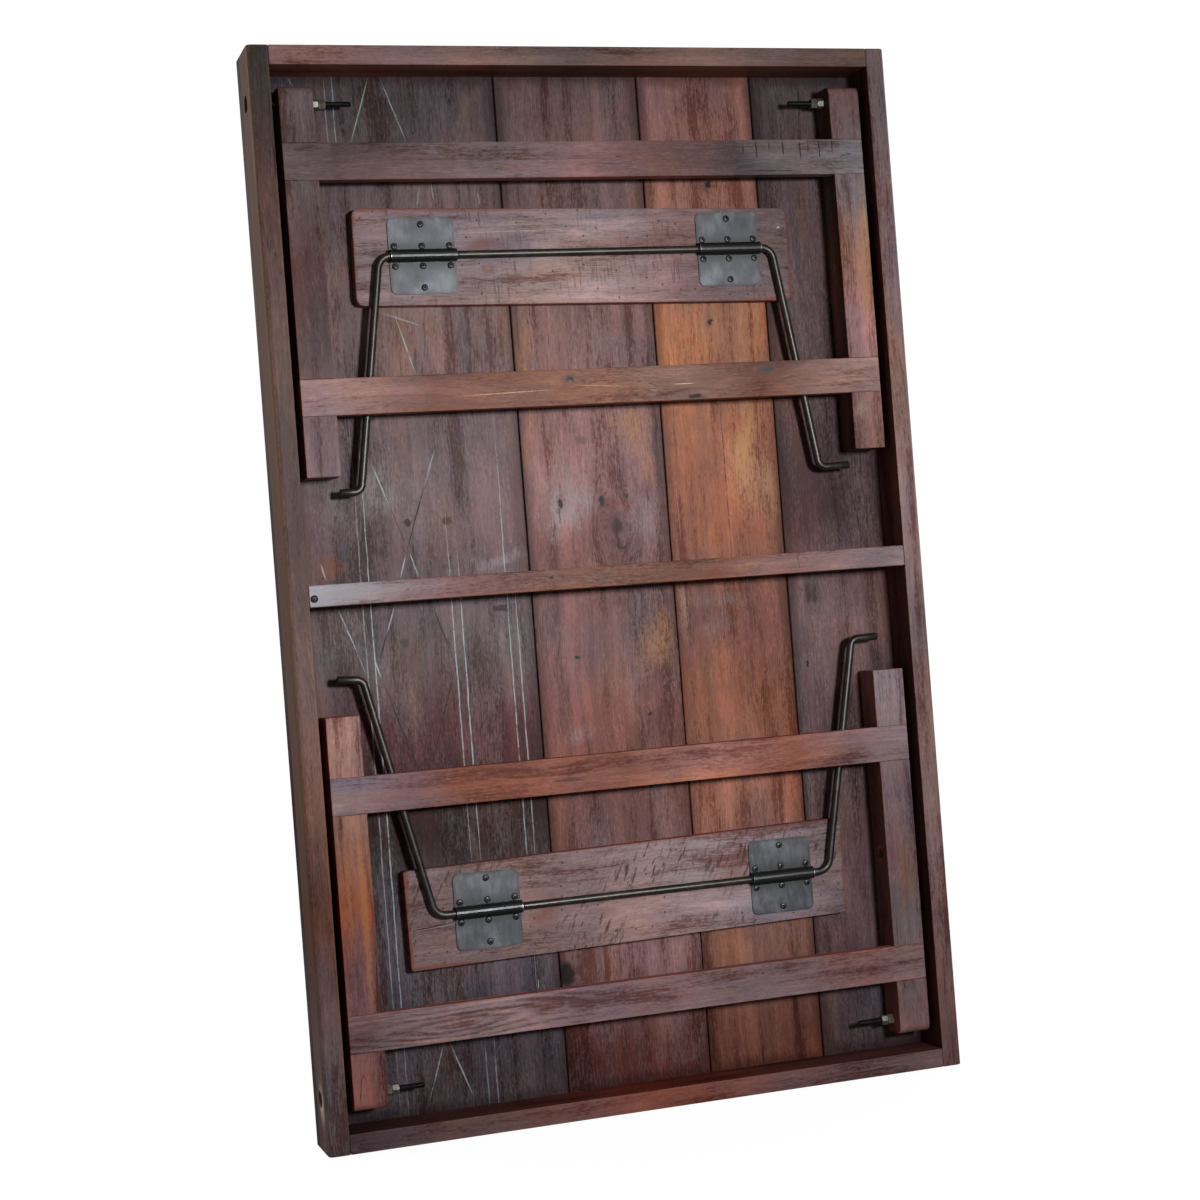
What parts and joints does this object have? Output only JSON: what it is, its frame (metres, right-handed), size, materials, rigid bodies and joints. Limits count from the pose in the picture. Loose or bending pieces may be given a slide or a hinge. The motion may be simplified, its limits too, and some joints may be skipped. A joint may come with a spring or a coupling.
{
  "type": "folding table",
  "caption": "Plank-topped wooden table with a rimmed underside, hinged leg frames that fold into it, and hooked wire braces that hold them open.",
  "frame": {"origin": "middle of the standing end, on the surface it stands on, under the middle of the bounding box", "axes": "+Z along the table's length, up as it stands on its end; +Y out of the table's top face; -Y out of its underside; +X across its width"},
  "size_m": [0.766, 0.072, 1.22],
  "materials": {
    "plank_dark": "satin oiled, dark",
    "plank_brown": "satin oiled",
    "plank_orange": "satin oiled, orange brown",
    "plank_plum": "satin oiled, dark plum",
    "rim_wood": "satin oiled",
    "batten_wood": "satin oiled",
    "leg_wood": "satin oiled",
    "board_wood": "sawn, lightly oiled",
    "arm_steel": "dark, worn",
    "plate_steel": "gunmetal, sooted",
    "screw_steel": "dark",
    "bolt_steel": "black threaded",
    "zinc": "zinc plated"
  },
  "bodies": {
    "table_top": {"plank_1": "plank_dark", "plank_2": "plank_brown", "plank_3": "plank_orange", "plank_4": "plank_plum", "side_rail_left": "rim_wood", "side_rail_right": "rim_wood", "end_rail_top": "rim_wood", "end_rail_bottom": "rim_wood", "centre_batten": "batten_wood", "batten_screw_left": "screw_steel", "upper_brace_board": "board_wood", "upper_brace_plate_left": "plate_steel", "upper_plate_screw_left_1": "screw_steel", "upper_plate_screw_left_2": "screw_steel", "upper_plate_screw_left_3": "screw_steel", "upper_plate_screw_left_4": "screw_steel", "pivot_bolt_upper_left": "bolt_steel", "pivot_nut_upper_left": "zinc", "lock_nut_upper_left": "zinc", "upper_brace_plate_right": "plate_steel", "upper_plate_screw_right_1": "screw_steel", "upper_plate_screw_right_2": "screw_steel", "upper_plate_screw_right_3": "screw_steel", "upper_plate_screw_right_4": "screw_steel", "pivot_bolt_upper_right": "bolt_steel", "pivot_nut_upper_right": "zinc", "lock_nut_upper_right": "zinc", "lower_brace_board": "board_wood", "lower_brace_plate_left": "plate_steel", "lower_plate_screw_left_1": "screw_steel", "lower_plate_screw_left_2": "screw_steel", "lower_plate_screw_left_3": "screw_steel", "lower_plate_screw_left_4": "screw_steel", "pivot_bolt_lower_left": "bolt_steel", "pivot_nut_lower_left": "zinc", "lock_nut_lower_left": "zinc", "lower_brace_plate_right": "plate_steel", "lower_plate_screw_right_1": "screw_steel", "lower_plate_screw_right_2": "screw_steel", "lower_plate_screw_right_3": "screw_steel", "lower_plate_screw_right_4": "screw_steel", "pivot_bolt_lower_right": "bolt_steel", "pivot_nut_lower_right": "zinc", "lock_nut_lower_right": "zinc"},
    "upper_leg_frame": {"upper_leg_left": "leg_wood", "upper_leg_right": "leg_wood", "upper_stretcher_pivot": "leg_wood", "upper_stretcher_foot": "leg_wood"},
    "lower_leg_frame": {"lower_leg_left": "leg_wood", "lower_leg_right": "leg_wood", "lower_stretcher_pivot": "leg_wood", "lower_stretcher_foot": "leg_wood"},
    "upper_brace": {"upper_arm_left": "arm_steel", "upper_arm_right": "arm_steel", "upper_cross_rod": "arm_steel"},
    "lower_brace": {"lower_arm_left": "arm_steel", "lower_arm_right": "arm_steel", "lower_cross_rod": "arm_steel"}
  },
  "joints": [
    {"name": "upper_leg_hinge", "type": "hinge", "parent": "table_top", "child": "upper_leg_frame", "pos_m": [0, -0.00745, 1.1605], "axis": [-1, 0, 0], "range_deg": [0, 90]},
    {"name": "upper_brace_hinge", "type": "hinge", "parent": "table_top", "child": "upper_brace", "pos_m": [0, -0.0043, 0.9895], "axis": [-1, 0, 0], "range_deg": [0, 130.7]},
    {"name": "lower_leg_hinge", "type": "hinge", "parent": "table_top", "child": "lower_leg_frame", "pos_m": [0, -0.00745, 0.0595], "axis": [1, 0, 0], "range_deg": [0, 90]},
    {"name": "lower_brace_hinge", "type": "hinge", "parent": "table_top", "child": "lower_brace", "pos_m": [0, -0.0043, 0.2445], "axis": [1, 0, 0], "range_deg": [0, 132.9]}
  ],
  "couplings": [
    {"joint": "upper_brace_hinge", "follows": "upper_leg_hinge", "ratio": 1.4485},
    {"joint": "lower_brace_hinge", "follows": "lower_leg_hinge", "ratio": 1.4734}
  ]
}
